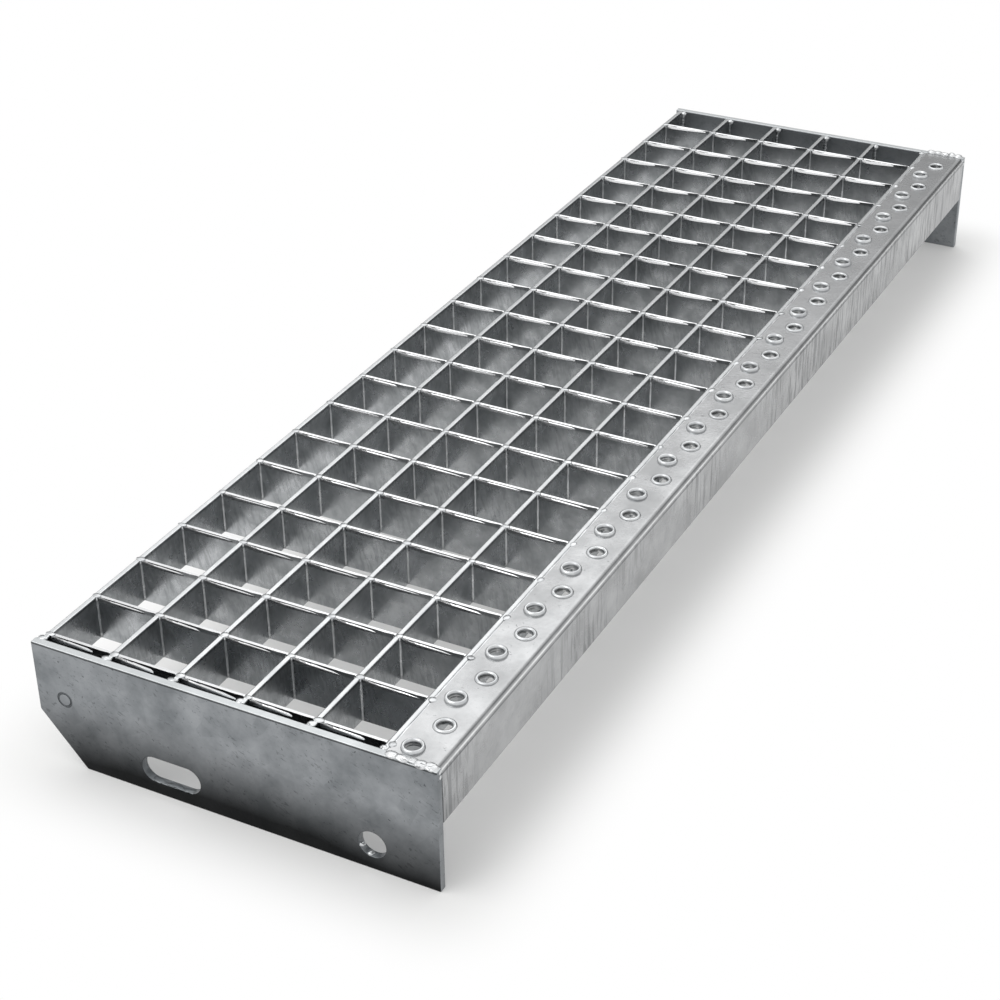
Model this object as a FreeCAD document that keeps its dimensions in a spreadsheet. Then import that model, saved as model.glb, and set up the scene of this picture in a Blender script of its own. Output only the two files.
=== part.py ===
import FreeCAD
import Part
import os
import Sketcher

# Grating stair tread of welded, hot-dip galvanised steel: two upright end plates carry a grid of bars on
# edge, and a folded, perforated nosing closes the front. X runs along the tread, -Y points to the nosing,
# Z is up. The origin is on the surface that the end plates stand on, under the middle of the tread.
# Millimetres.

SIZES = {
    # Overall
    "tread_length": 700.0,
    "tread_depth": 200.0,
    # End plates, seen from the end: the cut-off corner is at the lower rear
    "plate_height": 62.0,
    "plate_thickness": 4.0,
    "corner_cut_depth": 22.0,
    "corner_cut_height": 26.0,
    "bolt_hole_diameter": 13.0,
    "slot_length": 30.0,
    "bolt_spacing": 100.0,
    "bolt_setback": 32.0,
    "bolt_height": 13.0,
    # Bar grid
    "bar_height": 22.0,
    "bar_thickness": 2.5,
    "bar_spacing": 34.0,
    "rear_margin": 3.7,
    "cross_thickness": 2.0,
    "cross_spacing": 33.0,
    "cross_start": 8.5,
    "lap_clearance": 0.1,
    # Tongue bent out of the cross bar's split top edge, once in each mesh
    "tongue_root": 5.0,
    "tongue_reach": 14.0,
    "tongue_spread": 2.2,
    "tongue_thickness": 0.8,
    "tongue_height": 3.0,
    # Nosing
    "nosing_height": 28.0,
    "nosing_thickness": 2.0,
    "nosing_bend": 3.5,
    "nosing_gap": 0.6,
    "nosing_width_min": 20.0,
    "grip_hole_diameter": 7.3,
    "grip_pitch": 36.0,
    "grip_clearance": 1.55,
    "grip_end_margin": 10.0,
    "grip_rear_row": 8.0,
    "grip_front_row": 12.6,
    # Welds
    "fillet_leg": 2.0,
    "bead_edge": 0.4,
    "bead_reach": 0.8,
    "bead_height": 0.8,
    "bead_inset": 1.5,
    "tack_width": 3.0,
    "tack_height": 0.7,
}

doc = FreeCAD.newDocument("stair_tread")
sheet = doc.addObject("Spreadsheet::Sheet", "sizes")
for row, (alias, value) in enumerate(SIZES.items(), start=1):
    sheet.set(f"A{row}", alias)
    sheet.set(f"B{row}", str(value))
    sheet.setAlias(f"B{row}", alias)
doc.recompute()

# Positions that several pieces share, written as expressions of the sheet
LEFT_INNER = "-sizes.tread_length / 2 + sizes.plate_thickness"
CLEAR_LENGTH = "sizes.tread_length - 2 * sizes.plate_thickness"
REAR_BAR_Y = "sizes.tread_depth / 2 - sizes.rear_margin"
FIRST_CROSS_X = "-sizes.tread_length / 2 + sizes.cross_start"
CROSS_SLOT = "sizes.bar_thickness + sizes.lap_clearance"
LONG_SLOT = "sizes.cross_thickness + sizes.lap_clearance"
RIGHT_INNER = "sizes.tread_length / 2 - sizes.plate_thickness"
TOP = "sizes.plate_height"
BEAD_WIDTH = "(sizes.plate_thickness - sizes.bead_edge + sizes.bead_reach)"
GRIP_START = "sizes.bead_reach + sizes.grip_clearance + sizes.grip_hole_diameter / 2"

# The grid holds as many bars as fit between the plates and behind the nosing
cross_room = sheet.tread_length - sheet.plate_thickness - sheet.cross_start - sheet.cross_thickness
cross_count = int(cross_room / sheet.cross_spacing) + 1
bar_room = sheet.tread_depth - sheet.rear_margin - sheet.nosing_width_min
bar_count = int(bar_room / sheet.bar_spacing) + 1
FRONT_BAR_Y = f"{REAR_BAR_Y} - {bar_count - 1} * sizes.bar_spacing"
NOSING_REAR_Y = f"{FRONT_BAR_Y} - sizes.bar_thickness / 2 - sizes.nosing_gap"
NOSING_WIDTH = f"{NOSING_REAR_Y} + sizes.tread_depth / 2"

subparts = []


def bind(obj, expressions):
    for path, expression in expressions.items():
        obj.setExpression(path, expression)


def new_body(label):
    body = doc.addObject("PartDesign::Body", label)
    body.Label = label
    subparts.append(body)
    return body


def origin_feature(body, role):
    return next(feature for feature in body.Origin.OriginFeatures if feature.Role == role)


def attach(feature, body, role, shift="0"):
    feature.AttachmentSupport = (origin_feature(body, role), "")
    feature.MapMode = "FlatFace"
    feature.setExpression("AttachmentOffset.Base.z", shift)


def new_sketch(body, name, role, shift="0"):
    sketch = body.newObject("Sketcher::SketchObject", name)
    attach(sketch, body, role, shift)
    return sketch


def pin_point(sketch, geometry, point, name, x, y):
    # Holds a point at a place that is given by two expressions
    for kind, axis, expression in (("DistanceX", "x", x), ("DistanceY", "y", y)):
        value = sketch.evalExpression(expression)
        number = sketch.addConstraint(Sketcher.Constraint(kind, -1, 1, geometry, point, value))
        sketch.renameConstraint(number, f"{name}_{axis}")
        sketch.setExpression(f"Constraints.{name}_{axis}", expression)


def add_polygon(sketch, corners):
    points = [FreeCAD.Vector(sketch.evalExpression(x), sketch.evalExpression(y), 0) for x, y in corners]
    for start, end in zip(points, points[1:] + points[:1]):
        sketch.addGeometry(Part.LineSegment(start, end))
    for side in range(len(points)):
        following = (side + 1) % len(points)
        sketch.addConstraint(Sketcher.Constraint("Coincident", side, 2, following, 1))
    for side, (x, y) in enumerate(corners):
        pin_point(sketch, side, 1, f"corner_{side}", x, y)


def add_rectangle(sketch, left, right, bottom, top):
    add_polygon(sketch, [(left, bottom), (right, bottom), (right, top), (left, top)])


def add_circle(sketch, x, y, diameter, name):
    center = FreeCAD.Vector(sketch.evalExpression(x), sketch.evalExpression(y), 0)
    size = sketch.evalExpression(diameter)
    circle = sketch.addGeometry(Part.Circle(center, FreeCAD.Vector(0, 0, 1), size / 2))
    number = sketch.addConstraint(Sketcher.Constraint("Diameter", circle, size))
    sketch.renameConstraint(number, f"{name}_diameter")
    sketch.setExpression(f"Constraints.{name}_diameter", diameter)
    pin_point(sketch, circle, 3, name, x, y)


def add_slot(sketch, x, y, length, width):
    # Two half circles, joined by tangent lines, with the slot's length along the sketch's X
    reach = f"({length} - {width}) / 2"
    center_x = sketch.evalExpression(x)
    center_y = sketch.evalExpression(y)
    half = sketch.evalExpression(reach)
    radius = sketch.evalExpression(f"{width} / 2")
    normal = FreeCAD.Vector(0, 0, 1)
    quarter = 1.5707963267948966
    left = Part.Circle(FreeCAD.Vector(center_x - half, center_y, 0), normal, radius)
    right = Part.Circle(FreeCAD.Vector(center_x + half, center_y, 0), normal, radius)
    left_arc = sketch.addGeometry(Part.ArcOfCircle(left, quarter, 3 * quarter))
    right_arc = sketch.addGeometry(Part.ArcOfCircle(right, -quarter, quarter))
    low_left = FreeCAD.Vector(center_x - half, center_y - radius, 0)
    low_right = FreeCAD.Vector(center_x + half, center_y - radius, 0)
    high_left = FreeCAD.Vector(center_x - half, center_y + radius, 0)
    high_right = FreeCAD.Vector(center_x + half, center_y + radius, 0)
    low = sketch.addGeometry(Part.LineSegment(low_left, low_right))
    high = sketch.addGeometry(Part.LineSegment(high_right, high_left))
    for arc, arc_end, line, line_end in (
        (left_arc, 2, low, 1), (low, 2, right_arc, 1), (right_arc, 2, high, 1), (high, 2, left_arc, 1)
    ):
        sketch.addConstraint(Sketcher.Constraint("Tangent", arc, arc_end, line, line_end))
    sketch.addConstraint(Sketcher.Constraint("Equal", left_arc, right_arc))
    number = sketch.addConstraint(Sketcher.Constraint("Radius", left_arc, radius))
    sketch.renameConstraint(number, "slot_radius")
    sketch.setExpression("Constraints.slot_radius", f"{width} / 2")
    pin_point(sketch, left_arc, 3, "slot_left", f"{x} - {reach}", y)
    pin_point(sketch, right_arc, 3, "slot_right", f"{x} + {reach}", y)


def pad(body, sketch, name, length, both_ways=False, reverse=False):
    feature = body.newObject("PartDesign::Pad", name)
    feature.Profile = sketch
    feature.Midplane = both_ways
    feature.Reversed = reverse
    feature.setExpression("Length", length)
    return feature


def pocket(body, sketch, name, depth=None, reverse=False):
    # Without a depth the cut goes through the whole piece, both ways from the sketch
    feature = body.newObject("PartDesign::Pocket", name)
    feature.Profile = sketch
    if depth is None:
        feature.Type = "ThroughAll"
        feature.Midplane = True
    else:
        feature.Reversed = reverse
        feature.setExpression("Length", depth)
    return feature


def repeat(body, name, originals, role, step, count, reverse=False):
    feature = body.newObject("PartDesign::LinearPattern", name)
    feature.Originals = originals
    feature.Direction = (origin_feature(body, role), [""])
    feature.Reversed = reverse
    feature.Occurrences = count
    feature.setExpression("Length", f"{count - 1} * {step}")
    body.Tip = feature
    return feature


# End plates: the outline is drawn as seen from the end, rear to the right
def end_plate(label, plate_x):
    body = new_body(label)
    bind(body, {"Placement.Base.x": plate_x})
    rear = "sizes.tread_depth / 2"
    front = "-sizes.tread_depth / 2"
    outline = new_sketch(body, f"{label}_outline", "YZ_Plane")
    add_polygon(outline, [
        (front, "0"),
        (f"{rear} - sizes.corner_cut_depth", "0"),
        (rear, "sizes.corner_cut_height"),
        (rear, TOP),
        (front, TOP),
    ])
    pad(body, outline, f"{label}_sheet", "sizes.plate_thickness")
    holes = new_sketch(body, f"{label}_holes", "YZ_Plane")
    hole_y = f"{front} + sizes.bolt_setback"
    add_slot(holes, f"{hole_y} + sizes.bolt_spacing", "sizes.bolt_height",
             "sizes.slot_length", "sizes.bolt_hole_diameter")
    add_circle(holes, hole_y, "sizes.bolt_height", "sizes.bolt_hole_diameter", "bolt_hole")
    pocket(body, holes, f"{label}_bolt_holes")


# Long bars: origin at the top of the bar's left end, in the middle of its thickness
def long_bar(label, place, slotted):
    body = new_body(label)
    bind(body, {
        "Placement.Base.x": LEFT_INNER,
        "Placement.Base.y": f"{REAR_BAR_Y} - {place} * sizes.bar_spacing",
        "Placement.Base.z": TOP,
    })
    section = new_sketch(body, f"{label}_section", "YZ_Plane")
    add_rectangle(section, "-sizes.bar_thickness / 2", "sizes.bar_thickness / 2", "-sizes.bar_height", "0")
    pad(body, section, f"{label}_flat", CLEAR_LENGTH)
    if slotted:
        slot = new_sketch(body, f"{label}_slot", "XZ_Plane")
        slot_x = "sizes.cross_start - sizes.plate_thickness"
        add_rectangle(slot, f"{slot_x} - ({LONG_SLOT}) / 2", f"{slot_x} + ({LONG_SLOT}) / 2",
                      "-sizes.bar_height", "-sizes.bar_height / 2")
        cut = pocket(body, slot, f"{label}_slot_cut")
        repeat(body, f"{label}_slots", [cut], "X_Axis", "sizes.cross_spacing", cross_count)


# Cross bars: origin at the top of the bar, in the middle of its thickness, under the rear bar's middle
def cross_bar(label, place):
    body = new_body(label)
    bind(body, {
        "Placement.Base.x": f"{FIRST_CROSS_X} + {place} * sizes.cross_spacing",
        "Placement.Base.y": REAR_BAR_Y,
        "Placement.Base.z": TOP,
    })
    face = "-sizes.cross_thickness / 2"
    mesh_rear = "-sizes.bar_thickness / 2"
    mesh_front = "-sizes.bar_spacing + sizes.bar_thickness / 2"
    section = new_sketch(body, f"{label}_section", "XZ_Plane", "sizes.bar_thickness / 2")
    add_rectangle(section, face, "sizes.cross_thickness / 2", "-sizes.bar_height", "0")
    pad(body, section, f"{label}_flat", f"{bar_count - 1} * sizes.bar_spacing + sizes.nosing_gap")

    slot = new_sketch(body, f"{label}_slot", "YZ_Plane")
    slot_front = f"-sizes.bar_spacing - ({CROSS_SLOT}) / 2"
    slot_rear = f"-sizes.bar_spacing + ({CROSS_SLOT}) / 2"
    add_rectangle(slot, slot_front, slot_rear, "-sizes.bar_height / 2", "0")
    slot_cut = pocket(body, slot, f"{label}_slot_cut")

    split = new_sketch(body, f"{label}_split", "YZ_Plane", face)
    add_rectangle(split, mesh_front, f"{mesh_rear} - sizes.tongue_root", "-sizes.tongue_height", "0")
    split_cut = pocket(body, split, f"{label}_split_cut", "sizes.tongue_thickness", reverse=True)

    tongue = new_sketch(body, f"{label}_tongue", "XY_Plane")
    back = f"{face} + sizes.tongue_thickness"
    tip = f"{mesh_rear} - sizes.tongue_root - sizes.tongue_reach"
    add_polygon(tongue, [
        (face, mesh_rear),
        (f"{face} - sizes.tongue_spread", tip),
        (f"{back} - sizes.tongue_spread", tip),
        (back, f"{mesh_rear} - sizes.tongue_root"),
        (back, mesh_rear),
    ])
    tongue_pad = pad(body, tongue, f"{label}_tongue_flat", "sizes.tongue_height", reverse=True)
    repeat(body, f"{label}_meshes", [slot_cut, split_cut, tongue_pad], "Y_Axis", "sizes.bar_spacing",
           bar_count - 1, reverse=True)


# Nosing: origin at the top of its left end, at the rear edge of the top flange
def grip_row(body, name, row_y, start_x):
    # Punched holes through the top flange
    room = sheet.evalExpression(f"{CLEAR_LENGTH} - ({start_x}) - sizes.grip_end_margin")
    count = int(room / sheet.grip_pitch) + 1
    hole = body.newObject("PartDesign::SubtractiveCylinder", f"{name}_hole")
    attach(hole, body, "XY_Plane", "-sizes.nosing_thickness")
    bind(hole, {
        "AttachmentOffset.Base.x": start_x,
        "AttachmentOffset.Base.y": f"-({row_y})",
        "Radius": "sizes.grip_hole_diameter / 2",
        "Height": "sizes.nosing_thickness",
    })
    repeat(body, f"{name}_holes", [hole], "X_Axis", "sizes.grip_pitch", count)


def straight_edge_at(shape, y, z):
    # Number of the lengthwise edge that runs through a point of the section
    for number, edge in enumerate(shape.Edges, start=1):
        middle = edge.BoundBox.Center
        along = edge.BoundBox.XLength > edge.BoundBox.YLength + edge.BoundBox.ZLength
        if along and abs(middle.y - y) < 1e-6 and abs(middle.z - z) < 1e-6:
            return f"Edge{number}"


def nosing():
    body = new_body("nosing")
    bind(body, {
        "Placement.Base.x": LEFT_INNER,
        "Placement.Base.y": NOSING_REAR_Y,
        "Placement.Base.z": TOP,
    })
    front = f"-({NOSING_WIDTH})"
    section = new_sketch(body, "nosing_section", "YZ_Plane")
    add_polygon(section, [
        ("0", "0"),
        (front, "0"),
        (front, "-sizes.nosing_height"),
        (f"{front} + sizes.nosing_thickness", "-sizes.nosing_height"),
        (f"{front} + sizes.nosing_thickness", "-sizes.nosing_thickness"),
        ("0", "-sizes.nosing_thickness"),
    ])
    fold = pad(body, section, "nosing_sheet", CLEAR_LENGTH)
    doc.recompute()
    front_y = section.evalExpression(front)
    inside = sheet.nosing_thickness
    for name, y, z, radius in (
        ("outer", front_y, 0.0, "sizes.nosing_bend"),
        ("inner", front_y + inside, -inside, "sizes.nosing_bend - sizes.nosing_thickness"),
    ):
        bend = body.newObject("PartDesign::Fillet", f"nosing_{name}_bend")
        bend.Base = (fold, [straight_edge_at(fold.Shape, y, z)])
        bend.setExpression("Radius", radius)
        fold = bend
        doc.recompute()
    grip_row(body, "rear_row", "sizes.grip_rear_row", GRIP_START)
    grip_row(body, "front_row", "sizes.grip_front_row", f"{GRIP_START} + sizes.grip_pitch / 2")


# Fillet welds in the corner between each long bar and the end plate, on the bar's rear side, or on its
# front side where a turn is given for it. The nosing covers the front side of the front bar, so that one
# keeps its weld on the rear side.
def bar_welds(label, inner_x, rear_turn, front_turn=None):
    welds = []
    for place in range(bar_count):
        in_front = front_turn is not None and place < bar_count - 1
        side = "-" if in_front else "+"
        turn = front_turn if in_front else rear_turn
        bar_y = f"{REAR_BAR_Y} - {place} * sizes.bar_spacing"
        weld = doc.addObject("Part::Wedge", f"{label}_{place + 1}")
        for name in ("Xmin", "Ymin", "Zmin", "X2min", "Z2min", "X2max"):
            setattr(weld, name, 0.0)
        bind(weld, {
            "Xmax": "sizes.fillet_leg",
            "Ymax": "sizes.fillet_leg",
            "Zmax": "sizes.bar_height",
            "Z2max": "sizes.bar_height",
            "Placement.Base.x": inner_x,
            "Placement.Base.y": f"{bar_y} {side} sizes.bar_thickness / 2",
            "Placement.Base.z": f"{TOP} - sizes.bar_height",
        })
        weld.Placement.Rotation = FreeCAD.Rotation(FreeCAD.Vector(0, 0, 1), turn)
        welds.append(weld)
    group = doc.addObject("Part::Compound", label)
    group.Label = label
    group.Links = welds
    subparts.append(group)


# Beads over the joint between each end of the nosing and the end plate, low and round on top
def nosing_bead(label, middle_x):
    body = new_body(label)
    bind(body, {
        "Placement.Base.x": middle_x,
        "Placement.Base.y": f"{NOSING_REAR_Y} - sizes.bead_inset",
        "Placement.Base.z": TOP,
    })
    section = new_sketch(body, f"{label}_section", "XZ_Plane")
    half = section.evalExpression(f"{BEAD_WIDTH} / 2")
    crown = FreeCAD.Vector(0, sheet.bead_height, 0)
    arc = Part.Arc(FreeCAD.Vector(half, 0, 0), crown, FreeCAD.Vector(-half, 0, 0))
    top = section.addGeometry(arc)
    base = section.addGeometry(Part.LineSegment(FreeCAD.Vector(-half, 0, 0), FreeCAD.Vector(half, 0, 0)))
    section.addConstraint(Sketcher.Constraint("Coincident", top, 2, base, 1))
    section.addConstraint(Sketcher.Constraint("Coincident", base, 2, top, 1))
    pin_point(section, base, 1, "left", f"-{BEAD_WIDTH} / 2", "0")
    pin_point(section, base, 2, "right", f"{BEAD_WIDTH} / 2", "0")
    radius = f"({BEAD_WIDTH} ^ 2 / 4 + sizes.bead_height ^ 2) / (2 * sizes.bead_height)"
    number = section.addConstraint(Sketcher.Constraint("Radius", top, section.evalExpression(radius)))
    section.renameConstraint(number, "crown_radius")
    section.setExpression("Constraints.crown_radius", radius)
    pad(body, section, f"{label}_run", f"{NOSING_WIDTH} - sizes.nosing_bend - sizes.bead_inset")


# Tacks on top of the joint between the nosing's rear edge and the front long bar, one at each cross bar
def nosing_tacks(label):
    tacks = []
    for place in range(cross_count):
        tack = doc.addObject("Part::Wedge", f"{label}_{place + 1}")
        tack.Ymin = 0.0
        for axis in ("X", "Z"):
            bind(tack, {
                f"{axis}min": "-sizes.tack_width / 2",
                f"{axis}max": "sizes.tack_width / 2",
                f"{axis}2min": "-sizes.tack_width / 4",
                f"{axis}2max": "sizes.tack_width / 4",
            })
        bind(tack, {
            "Ymax": "sizes.tack_height",
            "Placement.Base.x": f"{FIRST_CROSS_X} + {place} * sizes.cross_spacing",
            "Placement.Base.y": f"{NOSING_REAR_Y} + sizes.nosing_gap / 2",
            "Placement.Base.z": TOP,
        })
        tack.Placement.Rotation = FreeCAD.Rotation(FreeCAD.Vector(1, 0, 0), 90)
        tacks.append(tack)
    group = doc.addObject("Part::Compound", label)
    group.Label = label
    group.Links = tacks
    subparts.append(group)


end_plate("end_plate_left", "-sizes.tread_length / 2")
end_plate("end_plate_right", RIGHT_INNER)
for bar_place in range(bar_count):
    long_bar(f"long_bar_{bar_place + 1}", bar_place, slotted=bar_place > 0)
for bar_place in range(cross_count):
    cross_bar(f"cross_bar_{bar_place + 1:02d}", bar_place)
nosing()
bar_welds("bar_welds_left", LEFT_INNER, 0)
bar_welds("bar_welds_right", RIGHT_INNER, 90, 180)
nosing_bead("nosing_bead_left", f"{LEFT_INNER} + sizes.bead_reach - {BEAD_WIDTH} / 2")
nosing_bead("nosing_bead_right", f"{RIGHT_INNER} - sizes.bead_reach + {BEAD_WIDTH} / 2")
nosing_tacks("nosing_tacks")
doc.recompute()

for item in doc.Objects:
    if "Invalid" in item.State or "Error" in item.State:
        raise RuntimeError(f"{item.Label} failed: {item.State}")
for item in subparts:
    if item.Shape.isNull() or not item.Shape.isValid():
        raise RuntimeError(f"{item.Label} has no valid shape")

os.makedirs("parts", exist_ok=True)
for item in subparts:
    item.Shape.exportStep(f"parts/{item.Label}.step")
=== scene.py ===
import math

import bmesh
import bpy
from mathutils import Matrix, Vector


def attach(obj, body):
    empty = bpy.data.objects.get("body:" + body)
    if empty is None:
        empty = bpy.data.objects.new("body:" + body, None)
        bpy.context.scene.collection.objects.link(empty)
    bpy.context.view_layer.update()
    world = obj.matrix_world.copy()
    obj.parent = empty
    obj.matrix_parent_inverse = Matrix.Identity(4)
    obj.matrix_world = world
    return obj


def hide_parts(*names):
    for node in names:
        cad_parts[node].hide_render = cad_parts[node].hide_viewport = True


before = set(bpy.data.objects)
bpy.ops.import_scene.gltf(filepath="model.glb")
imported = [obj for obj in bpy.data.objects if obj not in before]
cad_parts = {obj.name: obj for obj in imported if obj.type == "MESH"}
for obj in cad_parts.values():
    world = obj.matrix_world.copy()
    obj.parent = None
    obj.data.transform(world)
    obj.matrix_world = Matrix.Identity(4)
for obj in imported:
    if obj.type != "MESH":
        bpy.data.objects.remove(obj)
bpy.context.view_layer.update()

# End plates: two upright flats of 4 mm steel that carry the grating and bolt to the stringers. They are
# sheared, the hole and slot are punched, and the whole tread is then dipped in zinc, which rounds each edge.
MM = 0.001
PLATE_EDGE = 0.55 * MM
PLATE_HALF_DEPTH = 100 * MM
MARK_CENTRE = Vector((-350.0, 85.3, 35.5)) * MM
MARK_RADIUS = 3.4 * MM
MARK_GROOVE = 0.6 * MM
MARK_SIDES = 40
MARK_SECTION = 10
MARK_SHADE_STRENGTH = 0.55
SHARP_EDGE = math.radians(30.0)
FLAT_EDGE = math.radians(0.5)
MERGE_REACH = 0.002 * MM
CRYSTAL_SHARE = 0.1
CRYSTALS_PER_CLOUD = 2.5
CLOUD_STOPS = (0.34, 0.66)
CLOUD_RANGE = (0.3, 0.7)
DASH_DISTORTION = 0.7
DASH_EDGE = 0.07
PATCH_DASHES = 4
PATCH_RANGE = (0.42, 0.6)
PLATE_DARK = "7f8386"
PLATE_LIGHT = "9fa2a5"
PLATE_STAIN_AND_SHADE = "3a3e41"
PLATE_SHADE = "090a0b"
PLATE_HIGHLIGHT = "cfd2d3"
PLATE_SHADE_LOW = 12.5 * MM
PLATE_SHADE_HIGH = 47 * MM
PLATE_SHADE_RISE = 6 * MM
PLATE_SHADE_WAVER = 12 * MM
PLATE_SHADE_WAVER_WIDTH = 60 * MM
PLATE_SHADE_STRENGTH = 0.96
HOLE_Z = 13 * MM
HOLE_RADIUS = 6.5 * MM
HOLE_SPAN = (-68 * MM, -68 * MM)
SLOT_SPAN = (23.5 * MM, 40.5 * MM)
RIM_LINE = 0.8 * MM
RIM_STRENGTH = 0.85
EDGE_LINE = (60.9 * MM, 61.2 * MM)
EDGE_STRENGTH = 0.8
OUTER_SIDE = 0.2
BRIGHT_FROM = 55 * MM
BRIGHT_ASPECT = (0.3, 0.8)
BRIGHT_STRENGTH = 0.75


def linear(code):
    # The linear colour that a shader takes, from an sRGB hex code
    shares = [int(code[place:place + 2], 16) / 255 for place in (0, 2, 4)]
    return tuple(s / 12.92 if s <= 0.04045 else ((s + 0.055) / 1.055) ** 2.4 for s in shares) + (1.0,)


def add(tree, kind, inputs=None, **settings):
    # One node of a shader or geometry tree, with its settings, values and links
    node = tree.nodes.new(kind)
    for name, value in settings.items():
        setattr(node, name, value)
    for socket, value in (inputs or {}).items():
        if isinstance(value, bpy.types.NodeSocket):
            tree.links.new(value, node.inputs[socket])
        else:
            node.inputs[socket].default_value = value
    return node


def zinc_coat(name, dark, light, cloud, grain, roughness, relief):
    # Hot-dip galvanised steel: a frozen skin of zinc, cool grey and satin, with soft clouds of crystals and
    # a fine orange-peel grain; cloud and grain are widths in metres, relief is the grain's height
    material = bpy.data.materials.new(name)
    material.use_nodes = True
    tree = material.node_tree
    tree.nodes.clear()
    place = add(tree, "ShaderNodeTexCoord").outputs["Object"]
    clouds = add(tree, "ShaderNodeTexNoise", {
        "Vector": place, "Scale": 1 / cloud, "Detail": 5.0, "Roughness": 0.62,
    })
    crystals = add(tree, "ShaderNodeTexVoronoi", {"Vector": place, "Scale": CRYSTALS_PER_CLOUD / cloud})
    shade = add(tree, "ShaderNodeMix", {
        0: CRYSTAL_SHARE, 2: clouds.outputs["Fac"], 3: crystals.outputs["Color"],
    })
    ramp = add(tree, "ShaderNodeValToRGB", {"Fac": shade.outputs[0]})
    for stop, at, code in zip(ramp.color_ramp.elements, CLOUD_STOPS, (dark, light)):
        stop.position = at
        stop.color = linear(code)
    grains = add(tree, "ShaderNodeTexNoise", {
        "Vector": place, "Scale": 1 / grain, "Detail": 3.0, "Roughness": 0.55,
    })
    dullness = add(tree, "ShaderNodeMapRange", {
        "Value": clouds.outputs["Fac"], "From Min": CLOUD_RANGE[0], "From Max": CLOUD_RANGE[1],
        "To Min": roughness[1], "To Max": roughness[0],
    })
    bump = add(tree, "ShaderNodeBump", {"Height": grains.outputs["Fac"], "Strength": 1.0, "Distance": relief})
    shader = add(tree, "ShaderNodeBsdfPrincipled", {
        "Base Color": ramp.outputs["Color"], "Metallic": 1.0, "Roughness": dullness.outputs["Result"],
        "Normal": bump.outputs["Normal"],
    })
    add(tree, "ShaderNodeOutputMaterial", {"Surface": shader.outputs["BSDF"]})
    return material, tree, place, ramp.outputs["Color"], shader


def dark_dashes(tree, place, colour, shader, code, turn, length, width, share, strength, only=None):
    # Short dark dashes in patches, of the given length and width in metres, turned by angles about the axes
    slanted = add(tree, "ShaderNodeMapping", {"Vector": place, "Rotation": turn})
    stretched = add(tree, "ShaderNodeVectorMath", {
        0: slanted.outputs["Vector"], 1: (1 / width, 1 / width, 1 / length),
    }, operation="MULTIPLY")
    dashes = add(tree, "ShaderNodeTexNoise", {
        "Vector": stretched.outputs["Vector"], "Scale": 1.0, "Detail": 2.0, "Distortion": DASH_DISTORTION,
    })
    patches = add(tree, "ShaderNodeTexNoise", {
        "Vector": place, "Scale": 1 / (PATCH_DASHES * length), "Detail": 1.0,
    })
    sharp = add(tree, "ShaderNodeMapRange", {
        "Value": dashes.outputs["Fac"], "From Min": share, "From Max": share + DASH_EDGE, "To Max": strength,
    })
    spread = add(tree, "ShaderNodeMapRange", {
        "Value": patches.outputs["Fac"], "From Min": PATCH_RANGE[0], "From Max": PATCH_RANGE[1],
    })
    mask = add(tree, "ShaderNodeMath", {
        0: sharp.outputs["Result"], 1: spread.outputs["Result"],
    }, operation="MULTIPLY")
    if only:
        mask = add(tree, "ShaderNodeMath", {0: mask.outputs["Value"], 1: only}, operation="MULTIPLY")
    mixed = add(tree, "ShaderNodeMix", {
        0: mask.outputs["Value"], 6: colour, 7: linear(code),
    }, data_type="RGBA")
    tree.links.new(mixed.outputs[2], shader.inputs["Base Color"])
    return mixed.outputs[2]


def mesh_of(name, shape):
    # The finished shape as a mesh
    mesh = bpy.data.meshes.new(name)
    shape.to_mesh(mesh)
    shape.free()
    return mesh


def placed(name, data):
    # A piece, lamp or camera in the scene, at the origin
    piece = bpy.data.objects.new(name, data)
    bpy.context.scene.collection.objects.link(piece)
    return piece


def skin(shape, rings, closed):
    # Faces between neighbouring rings of points; a run that isn't closed gets a face at each end
    for ring, following in zip(rings, rings[1:] + rings[:1] if closed else rings[1:]):
        for place in range(len(ring)):
            after = (place + 1) % len(ring)
            shape.faces.new((ring[place], ring[after], following[after], following[place]))
    if not closed:
        shape.faces.new(rings[0])
        shape.faces.new(rings[-1][::-1])


def zinc_rounded(name, nodes, edge):
    # Copies of solids with their sharp edges rounded as the zinc leaves them
    shape = bmesh.new()
    for node in nodes:
        shape.from_mesh(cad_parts[node].data)
    bmesh.ops.remove_doubles(shape, verts=shape.verts, dist=MERGE_REACH)
    bmesh.ops.dissolve_limit(shape, angle_limit=FLAT_EDGE, verts=shape.verts, edges=shape.edges)
    sharp = [e for e in shape.edges if len(e.link_faces) == 2 and e.calc_face_angle() > SHARP_EDGE]
    bmesh.ops.bevel(shape, geom=sharp, offset=edge, segments=2, profile=0.5, affect="EDGES",
                    clamp_overlap=True)
    bmesh.ops.triangulate(shape, faces=[f for f in shape.faces if len(f.verts) > 4])
    return placed(name, mesh_of(name, shape))


def settle(piece, material, nodes=()):
    # The piece gets its finish, rides on the tread and stands for the solids that it covers
    piece.data.materials.clear()
    piece.data.materials.append(material)
    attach(piece, "root")
    if nodes:
        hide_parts(*nodes)
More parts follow.
